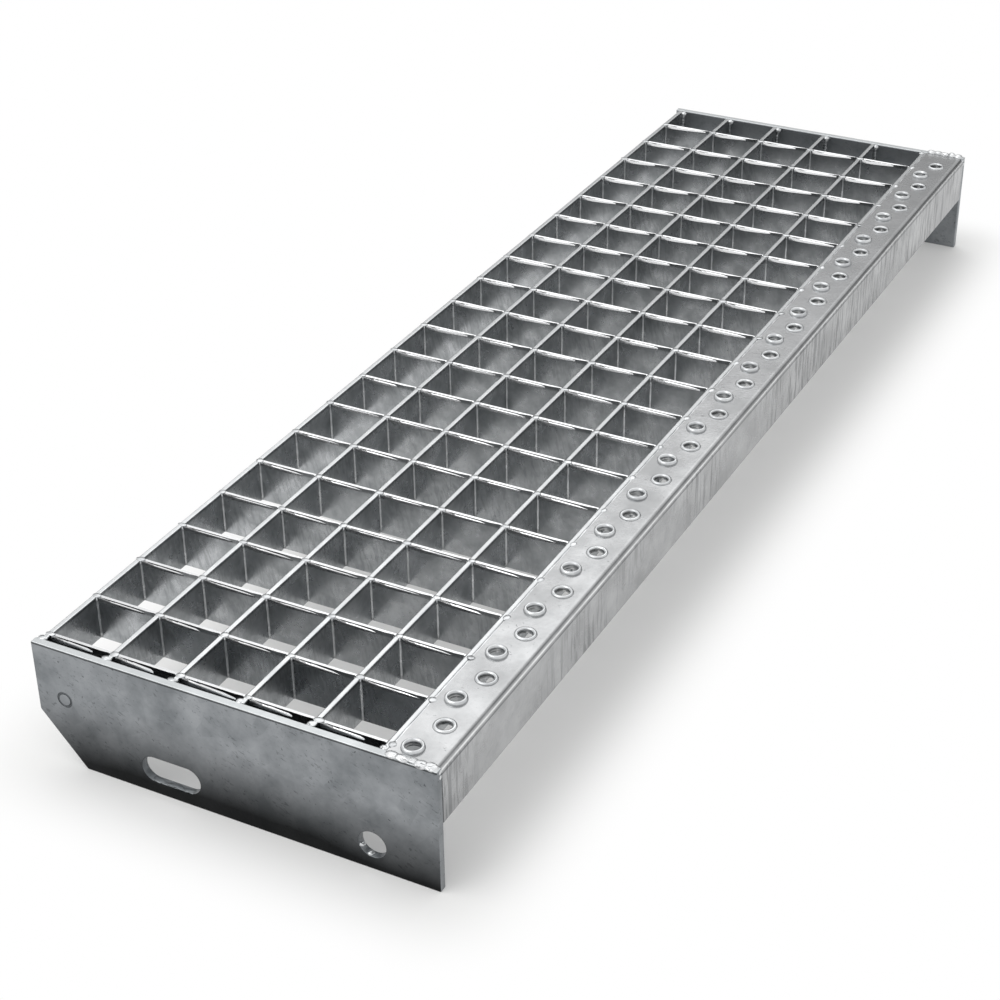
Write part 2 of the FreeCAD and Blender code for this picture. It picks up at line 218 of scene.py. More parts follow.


# Galvanised plate: a mottled grey with scattered dark specks. On its outer faces painted shade darkens it
# towards the lower edge, which is almost black, as the floor's shadow seen in the metal, and lays a thin dark
# line around the punched rims and along the upper edge; faces that look up near the top get a painted
# highlight.
plate_zinc, plate_tree, plate_place, plate_colour, plate_shader = zinc_coat(
    "galvanised_steel_plate", PLATE_DARK, PLATE_LIGHT, cloud=22 * MM, grain=1.2 * MM,
    roughness=(0.36, 0.52), relief=0.05 * MM,
)
plate_colour = dark_dashes(plate_tree, plate_place, plate_colour, plate_shader, PLATE_STAIN_AND_SHADE,
                     (math.radians(66), 0, 0), length=2.8 * MM, width=1.1 * MM, share=0.6, strength=0.38)
plate_colour = dark_dashes(plate_tree, plate_place, plate_colour, plate_shader, PLATE_STAIN_AND_SHADE,
                     (math.radians(30), 0, 0), length=1.7 * MM, width=1.2 * MM, share=0.685, strength=0.95)
where = add(plate_tree, "ShaderNodeSeparateXYZ", {"Vector": plate_place}).outputs
facing = add(plate_tree, "ShaderNodeNewGeometry").outputs["True Normal"]
aspect = add(plate_tree, "ShaderNodeSeparateXYZ", {"Vector": facing})
# Painted shade: the groove of the round mark is darkened.
off_mark = add(plate_tree, "ShaderNodeVectorMath", {0: plate_place, 1: MARK_CENTRE}, operation="DISTANCE")
off_ring = add(plate_tree, "ShaderNodeMath", {0: off_mark.outputs["Value"], 1: MARK_RADIUS, 2: MARK_GROOVE},
               operation="COMPARE")
ring_share = add(plate_tree, "ShaderNodeMath", {0: off_ring.outputs["Value"], 1: MARK_SHADE_STRENGTH},
                 operation="MULTIPLY")
ringed = add(plate_tree, "ShaderNodeMix", {
    0: ring_share.outputs["Value"], 6: plate_colour, 7: linear(PLATE_STAIN_AND_SHADE),
}, data_type="RGBA")
# Painted shade: the outer faces darken towards the lower edge, almost to black, for the floor's shadow seen
# in the metal; the dark reaches highest midway between front and back, and its edge wavers.
waver = add(plate_tree, "ShaderNodeTexNoise", {
    "Vector": plate_place, "Scale": 1 / PLATE_SHADE_WAVER_WIDTH, "Detail": 2.0,
})
square = add(plate_tree, "ShaderNodeMath", {0: where["Y"], 1: where["Y"]}, operation="MULTIPLY")
bowed = add(plate_tree, "ShaderNodeMath", {
    0: square.outputs["Value"], 1: PLATE_SHADE_RISE / PLATE_HALF_DEPTH ** 2, 2: where["Z"],
}, operation="MULTIPLY_ADD")
raised = add(plate_tree, "ShaderNodeMath", {
    0: waver.outputs["Fac"], 1: PLATE_SHADE_WAVER, 2: bowed.outputs["Value"],
}, operation="MULTIPLY_ADD")
low_shade = add(plate_tree, "ShaderNodeMapRange", {
    "Value": raised.outputs["Value"], "From Min": PLATE_SHADE_LOW, "From Max": PLATE_SHADE_HIGH,
    "To Min": PLATE_SHADE_STRENGTH, "To Max": 0.0,
})
# Painted shade: a thin dark band along the top of the outer face, under the upper edge.
edge_shade = add(plate_tree, "ShaderNodeMapRange", {
    "Value": where["Z"], "From Min": EDGE_LINE[0], "From Max": EDGE_LINE[1], "To Max": EDGE_STRENGTH,
})
dark_share = add(plate_tree, "ShaderNodeMath", {0: low_shade.outputs["Result"], 1: edge_shade.outputs["Result"]},
                 operation="MAXIMUM")
# Painted shade: a thin dark line around the bolt hole and the slot.
for start, end in (HOLE_SPAN, SLOT_SPAN):
    along = add(plate_tree, "ShaderNodeClamp", {"Value": where["Y"], "Min": start, "Max": end})
    centre = add(plate_tree, "ShaderNodeCombineXYZ", {
        "X": where["X"], "Y": along.outputs["Result"], "Z": HOLE_Z,
    })
    off_centre = add(plate_tree, "ShaderNodeVectorMath", {0: plate_place, 1: centre.outputs["Vector"]},
                     operation="DISTANCE")
    rim = add(plate_tree, "ShaderNodeMapRange", {
        "Value": off_centre.outputs["Value"], "From Min": HOLE_RADIUS, "From Max": HOLE_RADIUS + RIM_LINE,
        "To Min": RIM_STRENGTH, "To Max": 0.0,
    })
    dark_share = add(plate_tree, "ShaderNodeMath", {0: dark_share.outputs["Value"], 1: rim.outputs["Result"]},
                     operation="MAXIMUM")
# The painted shade of the masks above lands on the outer faces only.
outward = add(plate_tree, "ShaderNodeMath", {0: aspect.outputs["X"], 1: where["X"]}, operation="MULTIPLY")
outer_side = add(plate_tree, "ShaderNodeMath", {0: outward.outputs["Value"], 1: OUTER_SIDE},
                 operation="GREATER_THAN")
dark_side = add(plate_tree, "ShaderNodeMath", {
    0: dark_share.outputs["Value"], 1: outer_side.outputs["Value"],
}, operation="MULTIPLY")
darkened = add(plate_tree, "ShaderNodeMix", {
    0: dark_side.outputs["Value"], 6: ringed.outputs[2], 7: linear(PLATE_SHADE),
}, data_type="RGBA")
# Painted highlight: faces that look up, high on the plate, turn lighter.
upward = add(plate_tree, "ShaderNodeMapRange", {
    "Value": aspect.outputs["Z"], "From Min": BRIGHT_ASPECT[0], "From Max": BRIGHT_ASPECT[1],
    "To Max": BRIGHT_STRENGTH,
})
high = add(plate_tree, "ShaderNodeMath", {0: where["Z"], 1: BRIGHT_FROM}, operation="GREATER_THAN")
bright_share = add(plate_tree, "ShaderNodeMath", {0: upward.outputs["Result"], 1: high.outputs["Value"]},
                   operation="MULTIPLY")
brightened = add(plate_tree, "ShaderNodeMix", {
    0: bright_share.outputs["Value"], 6: darkened.outputs[2], 7: linear(PLATE_HIGHLIGHT),
}, data_type="RGBA")
plate_tree.links.new(brightened.outputs[2], plate_shader.inputs["Base Color"])

for side in ("left", "right"):
    plate = zinc_rounded(f"plate_{side}", [f"end_plate_{side}"], PLATE_EDGE)
    if side == "left":
        groove = bmesh.new()
        rings = []
        for number in range(MARK_SIDES):
            around = 2 * math.pi * number / MARK_SIDES
            radial = Vector((0.0, math.cos(around), math.sin(around)))
            ring = []
            for place in range(MARK_SECTION):
                angle = 2 * math.pi * place / MARK_SECTION
                offset = radial * (MARK_RADIUS + MARK_GROOVE * math.cos(angle))
                ring.append(groove.verts.new(
                    MARK_CENTRE + offset + Vector((MARK_GROOVE * math.sin(angle), 0, 0)),
                ))
            rings.append(ring)
        skin(groove, rings, closed=True)
        bmesh.ops.recalc_face_normals(groove, faces=groove.faces)
        cutter = placed("mark_groove", mesh_of("mark_groove", groove))
        cut = plate.modifiers.new("mark_groove", "BOOLEAN")
        cut.operation = "DIFFERENCE"
        cut.object = cutter
        marked = bpy.data.meshes.new_from_object(plate.evaluated_get(bpy.context.evaluated_depsgraph_get()))
        plate.modifiers.remove(cut)
        plate.data = marked
        bpy.data.objects.remove(cutter)
    settle(plate, plate_zinc, [f"end_plate_{side}"])

# Long bars: six flats on edge from plate to plate, 22 mm by 2.5 mm, five of them notched from below for the
# cross bars. They are pressed over the cross bars and welded to the plates.
BAR_EDGE = 0.5 * MM
BAR_HALF_THICKNESS = 1.25 * MM
BAR_DARK = "9c9fa1"
BAR_LIGHT = "c0c2c4"
BAR_STREAK = "5d6163"
BAR_SHADE = "2b2e30"
BAR_HIGHLIGHT = "dcdedf"
BAR_TOP = 62 * MM
SHADE_BAND = (59.9 * MM, 60.9 * MM)
SHADE_STRENGTH = 0.5
HIGHLIGHT_RANGE = 0.3
RUN_MARKS = {
    "turn": (math.radians(12), math.radians(10), 0), "length": 14 * MM, "width": 1.6 * MM, "share": 0.5,
    "strength": 0.24,
}
LONG_BARS = [f"long_bar_{number}" for number in range(1, 7)]


def top_highlight_and_shade(tree, place, colour, shader, code, steep, share, split_shade_mask=None, tongue=None):
    # The upper edge of a bar: a painted highlight where its faces look up by more than steep, and painted
    # shade in a thin line below; a face inside the split gets no highlight, and a tongue no shade
    facing = add(tree, "ShaderNodeNewGeometry").outputs["True Normal"]
    upright = add(tree, "ShaderNodeSeparateXYZ", {"Vector": facing}).outputs["Z"]
    height = add(tree, "ShaderNodeSeparateXYZ", {"Vector": place}).outputs["Z"]
    band = add(tree, "ShaderNodeMapRange", {
        "Value": height, "From Min": SHADE_BAND[0], "From Max": SHADE_BAND[1], "To Max": SHADE_STRENGTH,
    }).outputs["Result"]
    if tongue:
        beside = add(tree, "ShaderNodeMath", {0: 1.0, 1: tongue}, operation="SUBTRACT")
        band = add(tree, "ShaderNodeMath", {
            0: band, 1: beside.outputs["Value"],
        }, operation="MULTIPLY").outputs["Value"]
    shaded = add(tree, "ShaderNodeMix", {0: band, 6: colour, 7: linear(BAR_SHADE)}, data_type="RGBA")
    upward = add(tree, "ShaderNodeMapRange", {
        "Value": upright, "From Min": steep, "From Max": steep + HIGHLIGHT_RANGE, "To Max": share,
    }).outputs["Result"]
    if split_shade_mask:
        whole = add(tree, "ShaderNodeMath", {0: 1.0, 1: split_shade_mask}, operation="SUBTRACT")
        upward = add(tree, "ShaderNodeMath", {
            0: upward, 1: whole.outputs["Value"],
        }, operation="MULTIPLY").outputs["Value"]
    bright = add(tree, "ShaderNodeMix", {0: upward, 6: shaded.outputs[2], 7: linear(code)}, data_type="RGBA")
    tree.links.new(bright.outputs[2], shader.inputs["Base Color"])


# Galvanised flat: lighter than the plates and smoother, with faint upright run marks, a painted highlight on
# the upper edge and a thin line of painted shade below it.
bar_zinc, bar_tree, bar_place, bar_colour, bar_shader = zinc_coat(
    "galvanised_steel_flat", BAR_DARK, BAR_LIGHT, cloud=12 * MM, grain=0.9 * MM,
    roughness=(0.22, 0.36), relief=0.04 * MM,
)
bar_colour = dark_dashes(bar_tree, bar_place, bar_colour, bar_shader, BAR_STREAK, **RUN_MARKS)
top_highlight_and_shade(bar_tree, bar_place, bar_colour, bar_shader, BAR_HIGHLIGHT, steep=0.4, share=0.7)
settle(zinc_rounded("long_bars", LONG_BARS, BAR_EDGE), bar_zinc, LONG_BARS)

# Cross bars: twenty-one 2 mm flats on edge, notched from above where the long bars pass. In each mesh the top
# edge is split by the press and a thin tongue springs out of it, each one a little differently. The rest of
# the top leans with it.
CROSS_EDGE = 0.18 * MM
CROSS_COUNT = 21
CROSS_SPACING = 33 * MM
CROSS_FACE_X = -342.5 * MM
BAR_SPACING = 34 * MM
REAR_BAR_Y = 96.3 * MM
REAR_BAR_FRONT = REAR_BAR_Y - BAR_HALF_THICKNESS
MESH_ROWS = 5
TONGUE_LENGTH = 19 * MM
TONGUE_STATIONS = 8
TONGUE_SPREAD = 2.2 * MM
TONGUE_SWING = 1.0 * MM
SWING_RANGE = (-0.7, 0.6)
TONGUE_STRETCH = 12 * MM
STRETCH_RANGE = (-0.25, -1.0)
TONGUE_LIFT = 0.7 * MM
LIFT_FROM = 10 * MM
TONGUE_TAPER = 0.62
LEAF_ROOT = 0.3
LEAF_GROWTH = 1.3
LEAF_MOST = 0.56
TONGUE_LEAN = 0.29
LEAN_GROWTH = 4
TONGUE_ROUGHNESS = 0.14
TONGUE_BRIGHT = (0.25, 0.95)
TONGUE_HEIGHT = 3.2 * MM
ROOT_ALONG = (5 * MM, 1 * MM)
TOP_EDGE = 0.4 * MM
TOP_LEAN = 0.19
CROSS_BACK_X = -340.5 * MM
SPLIT_TOP = 0.65 * MM
SPLIT_DEPTH = 3.4 * MM
SPLIT_FACE = 0.1 * MM
SPLIT_REACH = 1.1 * MM
SPLIT_SHADE_STRENGTH = 0.35
MESH_CORNER_Z = -1.0
MESH_SNAP_Z = 10.0
SPLIT_SHADE = "26292b"
SPLIT_HIGHLIGHT = "e6e7e8"
CROSS_BARS = [f"cross_bar_{number:02d}" for number in range(1, CROSS_COUNT + 1)]


def new_geometry_tree(name, sizes):
    # An empty tree with a geometry input and output and one named input for each size
    tree = bpy.data.node_groups.new(name, "GeometryNodeTree")
    tree.interface.new_socket("Geometry", in_out="INPUT", socket_type="NodeSocketGeometry")
    tree.interface.new_socket("Geometry", in_out="OUTPUT", socket_type="NodeSocketGeometry")
    for label, value in sizes.items():
        kind = {int: "NodeSocketInt", float: "NodeSocketFloat"}.get(type(value), "NodeSocketMaterial")
        tree.interface.new_socket(label, in_out="INPUT", socket_type=kind)
    return tree, add(tree, "NodeGroupInput").outputs


def finish_tree(tree, geometry, material):
    # What every tree ends in: instances made real, smooth faces and the finish
    real = add(tree, "GeometryNodeRealizeInstances", {"Geometry": geometry})
    smooth = add(tree, "GeometryNodeSetShadeSmooth", {"Geometry": real.outputs["Geometry"]})
    coated = add(tree, "GeometryNodeSetMaterial", {
        "Geometry": smooth.outputs["Geometry"], "Material": material,
    })
    add(tree, "NodeGroupOutput", {"Geometry": coated.outputs["Geometry"]})


def grown(name, tree, sizes, seed_mesh=None):
    # The tree's result as a plain mesh in a new piece
    piece = placed(name, seed_mesh or bpy.data.meshes.new(name))
    modifier = piece.modifiers.new(name, "NODES")
    modifier.node_group = tree
    for item in tree.interface.items_tree:
        if item.in_out == "INPUT" and item.name in sizes:
            modifier[item.identifier] = sizes[item.name]
    seen = piece.evaluated_get(bpy.context.evaluated_depsgraph_get())
    mesh = bpy.data.meshes.new_from_object(seen)
    piece.modifiers.remove(modifier)
    piece.data = mesh
    mesh.name = name
    return piece


# Galvanised split flat: as the long bars, with a painted highlight on the top edge and on the tongue, which
# is also smoother, and painted shade inside the split.
split_zinc, split_tree, split_place, split_colour, split_shader = zinc_coat(
    "galvanised_split_flat", BAR_DARK, BAR_LIGHT, cloud=12 * MM, grain=0.9 * MM,
    roughness=(0.22, 0.36), relief=0.025 * MM,
)
split_colour = dark_dashes(split_tree, split_place, split_colour, split_shader, BAR_STREAK, **RUN_MARKS)
# Painted shade: the faces inside the split turn darker.
split_shade_mask = add(split_tree, "ShaderNodeAttribute", attribute_name="split_shade_mask").outputs["Fac"]
split_shade_share = add(split_tree, "ShaderNodeMath", {0: split_shade_mask, 1: SPLIT_SHADE_STRENGTH}, operation="MULTIPLY")
split_shaded_colour = add(split_tree, "ShaderNodeMix", {
    0: split_shade_share.outputs["Value"], 6: split_colour, 7: linear(SPLIT_SHADE),
}, data_type="RGBA")
tongue = add(split_tree, "ShaderNodeAttribute", attribute_name="tongue").outputs["Fac"]
tongue_share = add(split_tree, "ShaderNodeMapRange", {
    "Value": tongue, "From Max": TONGUE_BRIGHT[0], "To Max": TONGUE_BRIGHT[1],
})
dull = split_shader.inputs["Roughness"].links[0].from_socket
smooth = add(split_tree, "ShaderNodeMix", {0: tongue_share.outputs["Result"], 2: dull, 3: TONGUE_ROUGHNESS})
split_tree.links.new(smooth.outputs[0], split_shader.inputs["Roughness"])
# Painted highlight: the tongue turns near white; its lower roughness is real.
tongue_colour = add(split_tree, "ShaderNodeMix", {
    0: tongue_share.outputs["Result"], 6: split_shaded_colour.outputs[2], 7: linear(SPLIT_HIGHLIGHT),
}, data_type="RGBA")
top_highlight_and_shade(split_tree, split_place, tongue_colour.outputs[2], split_shader, SPLIT_HIGHLIGHT, steep=0.1,
           share=0.85, split_shade_mask=split_shade_mask, tongue=tongue_share.outputs["Result"])

first_bar = zinc_rounded("first_cross_bar", CROSS_BARS[:1], CROSS_EDGE)
split_bar = bmesh.new()
split_bar.from_mesh(first_bar.data)
for row in range(MESH_ROWS):
    for station in range(1, TONGUE_STATIONS):
        cut_y = REAR_BAR_FRONT - row * BAR_SPACING - TONGUE_LENGTH * station / TONGUE_STATIONS
        bmesh.ops.bisect_plane(split_bar, geom=split_bar.verts[:] + split_bar.edges[:] + split_bar.faces[:],
                               plane_co=(0, cut_y, 0), plane_no=(0, 1, 0))
# A tongue narrows to a leaf, leans out, rises at its tip and is drawn back to the joint. The rest of the top
# leans.
reach = split_bar.verts.layers.float.new("tongue")
stretched = (TONGUE_LENGTH - ROOT_ALONG[1]) / (TONGUE_LENGTH - ROOT_ALONG[0])
for point in split_bar.verts:
    share = min(1.0, max(0.0, (CROSS_FACE_X - point.co.x) / TONGUE_SPREAD))
    along = (REAR_BAR_FRONT - point.co.y) % BAR_SPACING
    depth = BAR_TOP - point.co.z
    lift = 0.0
    if share > 0:
        depth *= min(LEAF_MOST, LEAF_ROOT + LEAF_GROWTH * share) * (1 - TONGUE_TAPER * share ** 2)
        lift = TONGUE_LIFT * max(0.0, (along - LIFT_FROM) / (TONGUE_LENGTH - LIFT_FROM))
    if along < ROOT_ALONG[0]:
        drawn_along = along * ROOT_ALONG[1] / ROOT_ALONG[0]
    else:
        drawn_along = TONGUE_LENGTH - (TONGUE_LENGTH - along) * stretched
    if along < TONGUE_LENGTH and BAR_TOP - point.co.z < TONGUE_HEIGHT:
        point.co.y += along - drawn_along
    if share == 0 and depth < TOP_EDGE:
        depth += TOP_LEAN * (CROSS_BACK_X - point.co.x)
    point[reach] = share
    point.co.z = BAR_TOP - depth + lift
    point.co.x -= TONGUE_LEAN * depth * min(1.0, LEAN_GROWTH * share)
bmesh.ops.dissolve_degenerate(split_bar, dist=MERGE_REACH, edges=split_bar.edges)
bmesh.ops.triangulate(split_bar, faces=[f for f in split_bar.faces if len(f.verts) > 4])
split_bar.to_mesh(first_bar.data)
split_bar.free()
# The faces inside the split, which get painted shade.
split_shade_faces = first_bar.data.attributes.new("split_shade_mask", "FLOAT", "FACE")
for face, value in zip(first_bar.data.polygons, split_shade_faces.data):
    inside = SPLIT_FACE < face.center.x - CROSS_FACE_X < SPLIT_REACH
    high = SPLIT_TOP < BAR_TOP - face.center.z < SPLIT_DEPTH
    value.value = float(inside and high)
cross_sizes = {
    "Count": CROSS_COUNT, "Spacing": CROSS_SPACING, "Swing": TONGUE_SWING, "Stretch": TONGUE_STRETCH,
    "Finish": split_zinc,
}
cross_tree, given = new_geometry_tree("cross_bars", cross_sizes)
step = add(cross_tree, "ShaderNodeCombineXYZ", {"X": given["Spacing"]})
row = add(cross_tree, "GeometryNodeMeshLine", {"Count": given["Count"], "Offset": step.outputs["Vector"]})
bars = add(cross_tree, "GeometryNodeInstanceOnPoints", {
    "Points": row.outputs["Mesh"], "Instance": given["Geometry"],
})
apart = add(cross_tree, "GeometryNodeRealizeInstances", {"Geometry": bars.outputs["Instances"]})
tongue_input = add(cross_tree, "GeometryNodeInputNamedAttribute", {"Name": "tongue"}, data_type="FLOAT")
tip_share = tongue_input.outputs["Attribute"]
here = add(cross_tree, "GeometryNodeInputPosition").outputs["Position"]
# Places are snapped to a corner of their mesh, at any height, so each tongue has one throw of the dice.
first_corner = (CROSS_FACE_X - CROSS_SPACING / 2, REAR_BAR_FRONT - MESH_ROWS * BAR_SPACING, MESH_CORNER_Z)
from_corner = add(cross_tree, "ShaderNodeVectorMath", {0: here, 1: first_corner}, operation="SUBTRACT")
in_mesh = add(cross_tree, "ShaderNodeVectorMath", {
    0: from_corner.outputs["Vector"], 1: (CROSS_SPACING, BAR_SPACING, MESH_SNAP_Z),
}, operation="SNAP")
dice = add(cross_tree, "ShaderNodeTexWhiteNoise", {"Vector": in_mesh.outputs["Vector"]})
throw = add(cross_tree, "ShaderNodeSeparateXYZ", {"Vector": dice.outputs["Color"]}).outputs
swing = add(cross_tree, "ShaderNodeMapRange", {
    "Value": throw["X"], "To Min": SWING_RANGE[0], "To Max": SWING_RANGE[1],
})
stretch = add(cross_tree, "ShaderNodeMapRange", {
    "Value": throw["Y"], "To Min": STRETCH_RANGE[0], "To Max": STRETCH_RANGE[1],
})
turned = add(cross_tree, "ShaderNodeMath", {0: swing.outputs["Result"], 1: given["Swing"]},
             operation="MULTIPLY")
drawn = add(cross_tree, "ShaderNodeMath", {0: stretch.outputs["Result"], 1: given["Stretch"]},
            operation="MULTIPLY")
drawn_tip = add(cross_tree, "ShaderNodeMath", {0: drawn.outputs["Value"], 1: tip_share}, operation="MULTIPLY")
at_tip = add(cross_tree, "ShaderNodeCombineXYZ", {
    "X": turned.outputs["Value"], "Y": drawn_tip.outputs["Value"],
})
shift = add(cross_tree, "ShaderNodeVectorMath", {0: at_tip.outputs["Vector"], "Scale": tip_share},
            operation="SCALE")
bent = add(cross_tree, "GeometryNodeSetPosition", {
    "Geometry": apart.outputs["Geometry"], "Offset": shift.outputs["Vector"],
})
coated = add(cross_tree, "GeometryNodeSetMaterial", {
    "Geometry": bent.outputs["Geometry"], "Material": given["Finish"],
})
add(cross_tree, "NodeGroupOutput", {"Geometry": coated.outputs["Geometry"]})
cross_bars = grown("cross_bars", cross_tree, cross_sizes, first_bar.data)
bpy.data.objects.remove(first_bar)
settle(cross_bars, split_zinc, CROSS_BARS)

# Zinc in the meshes: where the bars cross, the bath leaves a thin fillet down each inner corner and a small
# bright drop on top, just in front of each long bar.
BAR_HEIGHT = 22 * MM
FIRST_CROSS_X = -341.5 * MM
MESH_HALF_X = 15.5 * MM
MESH_HALF_Y = 15.75 * MM
SEAM_LEG = 0.75 * MM
SEAM_INSET = 0.2 * MM
SEAM_RINGS = 8
SEAM_ARC = 3
SEAM_WOBBLE = 0.35 * MM
SEAM_RIPPLES_PER_METRE = 260.0
RUN_DARK = "b5b7b9"
RUN_LIGHT = "d3d5d6"
DROP_SIZE = Vector((1.8, 2.3, 0.3)) * MM
DROP_RANGE = (0.7, 1.15)
DROP_SHIFT = -0.7 * MM

# Frozen run of zinc: nearly pure metal, brighter and glossier than the coated steel.
run_zinc = zinc_coat(
    "zinc_run", RUN_DARK, RUN_LIGHT, cloud=6 * MM, grain=0.8 * MM, roughness=(0.24, 0.38), relief=0.03 * MM,
)[0]

seams = bmesh.new()
for turn_x, turn_y in ((-1, -1), (1, -1), (1, 1), (-1, 1)):
    corner = Vector((turn_x * MESH_HALF_X, turn_y * MESH_HALF_Y, 0.0))
    rings = []
    for ring in range(SEAM_RINGS + 1):
        height = -SEAM_INSET - (BAR_HEIGHT - 2 * SEAM_INSET) * ring / SEAM_RINGS
        points = [corner]
        for place in range(SEAM_ARC + 1):
            angle = math.pi / 2 * place / SEAM_ARC
            inward = Vector((1 - math.sin(angle), 1 - math.cos(angle), 0.0)) * SEAM_LEG
            points.append(corner - Vector((turn_x * inward.x, turn_y * inward.y, 0.0)))
        rings.append([seams.verts.new(p + Vector((0, 0, height))) for p in points])
    skin(seams, rings, closed=False)
bmesh.ops.recalc_face_normals(seams, faces=seams.faces)
seam_mesh = mesh_of("mesh_seams", seams)


def mesh_points(tree, given, first):
    # One point in each mesh or on each crossing, from the first on
    column_step = add(tree, "ShaderNodeCombineXYZ", {"X": given["Column Spacing"]})
    row_step = add(tree, "ShaderNodeCombineXYZ", {"Y": given["Row Spacing"]})
    columns = add(tree, "GeometryNodeMeshLine", {
        "Count": given["Columns"], "Start Location": first, "Offset": column_step.outputs["Vector"],
    })
    rows = add(tree, "GeometryNodeMeshLine", {"Count": given["Rows"], "Offset": row_step.outputs["Vector"]})
    lines = add(tree, "GeometryNodeInstanceOnPoints", {
        "Points": columns.outputs["Mesh"], "Instance": rows.outputs["Mesh"],
    })
    return add(tree, "GeometryNodeRealizeInstances", {
        "Geometry": lines.outputs["Instances"],
    }).outputs["Geometry"]


seam_sizes = {
    "Columns": CROSS_COUNT - 1, "Rows": MESH_ROWS, "Column Spacing": CROSS_SPACING,
    "Row Spacing": BAR_SPACING, "Wobble": SEAM_WOBBLE, "Finish": run_zinc,
}
seam_tree, given = new_geometry_tree("mesh_seams", seam_sizes)
first_mesh = (FIRST_CROSS_X + CROSS_SPACING / 2, REAR_BAR_Y - (MESH_ROWS - 0.5) * BAR_SPACING, BAR_TOP)
fillets = add(seam_tree, "GeometryNodeInstanceOnPoints", {
    "Points": mesh_points(seam_tree, given, first_mesh), "Instance": given["Geometry"],
})
apart = add(seam_tree, "GeometryNodeRealizeInstances", {"Geometry": fillets.outputs["Instances"]})
ripple = add(seam_tree, "ShaderNodeTexNoise", {"Scale": SEAM_RIPPLES_PER_METRE, "Detail": 1.0})
level = add(seam_tree, "ShaderNodeVectorMath", {0: ripple.outputs["Color"], 1: (0.5, 0.5, 0.5)},
            operation="SUBTRACT")
size = add(seam_tree, "ShaderNodeCombineXYZ", {"X": given["Wobble"], "Y": given["Wobble"]})
shift = add(seam_tree, "ShaderNodeVectorMath", {0: level.outputs["Vector"], 1: size.outputs["Vector"]},
            operation="MULTIPLY")
wavy = add(seam_tree, "GeometryNodeSetPosition", {
    "Geometry": apart.outputs["Geometry"], "Offset": shift.outputs["Vector"],
})
finish_tree(seam_tree, wavy.outputs["Geometry"], given["Finish"])
settle(grown("mesh_seams", seam_tree, seam_sizes, seam_mesh), run_zinc)

drop_sizes = {
    "Columns": CROSS_COUNT, "Rows": MESH_ROWS, "Column Spacing": CROSS_SPACING, "Row Spacing": BAR_SPACING,
    "Seed": 4, "Finish": run_zinc,
}
drop_tree, given = new_geometry_tree("zinc_drops", drop_sizes)
first_drop = (FIRST_CROSS_X, REAR_BAR_Y - (MESH_ROWS - 1) * BAR_SPACING + DROP_SHIFT, BAR_TOP)
crossings = mesh_points(drop_tree, given, first_drop)
ball = add(drop_tree, "GeometryNodeMeshIcoSphere", {"Radius": 1.0, "Subdivisions": 2})
small = add(drop_tree, "FunctionNodeRandomValue", {
    0: DROP_SIZE * DROP_RANGE[0], 1: DROP_SIZE * DROP_RANGE[1], "Seed": given["Seed"],
}, data_type="FLOAT_VECTOR")
drops = add(drop_tree, "GeometryNodeInstanceOnPoints", {
    "Points": crossings, "Instance": ball.outputs["Mesh"], "Scale": small.outputs["Value"],
})
finish_tree(drop_tree, drops.outputs["Instances"], given["Finish"])
settle(grown("zinc_drops", drop_tree, drop_sizes), run_zinc)

# Nosing: a strip of 2 mm sheet folded down along the front edge, with two staggered rows of punched holes
# whose rims are drawn up for grip, the rear row's higher. Zinc has run down its front face in streaks.
GRIP_PITCH = 36 * MM
GRIP_COUNT = 19
GRIP_FIRST_X = -340 * MM
GRIP_REAR_Y = -83.55 * MM
GRIP_FRONT_Y = -88.15 * MM
RIM_RADIUS = 4.15 * MM
RIM_HALF_WIDTH = 1.0 * MM
RIM_HEIGHT = 1.6 * MM
FRONT_RIM_SHARE = 0.5
RIM_SIDES = 36
RIM_SECTION = 8
NOSING_DARK = "9b9c9d"
NOSING_LIGHT = "b2b3b4"
NOSING_STREAK_AND_SHADE = "474a4c"
NOSING_HIGHLIGHT = "f2f3f3"
FRONT_ASPECT = (-0.6, -0.9)
# Painted shade, a painted highlight and painted shade, in lines along the bend at these heights.
BEND_LINES = (
    (61.35 * MM, 0.4 * MM, NOSING_STREAK_AND_SHADE, 0.75),
    (60.3 * MM, 0.6 * MM, NOSING_HIGHLIGHT, 1.0),
    (58.8 * MM, 0.8 * MM, NOSING_STREAK_AND_SHADE, 0.8),
)
BEND_LINE_WAVER = 14 * MM
WAVER_RANGE = (0.3, 0.6)
WAVER_LEAST = 0.65

# Galvanised sheet: neutral light grey in large soft clouds, with upright dark runs on the front face, and
# fine lines of painted shade and a painted highlight along the bend.
nosing_zinc, nosing_tree, nosing_place, nosing_colour, nosing_shader = zinc_coat(
    "galvanised_steel_sheet", NOSING_DARK, NOSING_LIGHT, cloud=26 * MM, grain=1.6 * MM,
    roughness=(0.2, 0.32), relief=0.05 * MM,
)
facing = add(nosing_tree, "ShaderNodeNewGeometry").outputs["True Normal"]
aspect = add(nosing_tree, "ShaderNodeSeparateXYZ", {"Vector": facing}).outputs
front_face = add(nosing_tree, "ShaderNodeMapRange", {
    "Value": aspect["Y"], "From Min": FRONT_ASPECT[0], "From Max": FRONT_ASPECT[1],
})
nosing_colour = dark_dashes(nosing_tree, nosing_place, nosing_colour, nosing_shader, NOSING_STREAK_AND_SHADE,
                      (0, 0, 0), length=26 * MM, width=1.9 * MM, share=0.51, strength=0.55,
                      only=front_face.outputs["Result"])
nosing_colour = dark_dashes(nosing_tree, nosing_place, nosing_colour, nosing_shader, NOSING_STREAK_AND_SHADE,
                      (math.radians(70), 0, 0), length=3.2 * MM, width=1.1 * MM, share=0.66, strength=0.5)
height = add(nosing_tree, "ShaderNodeSeparateXYZ", {"Vector": nosing_place}).outputs["Z"]
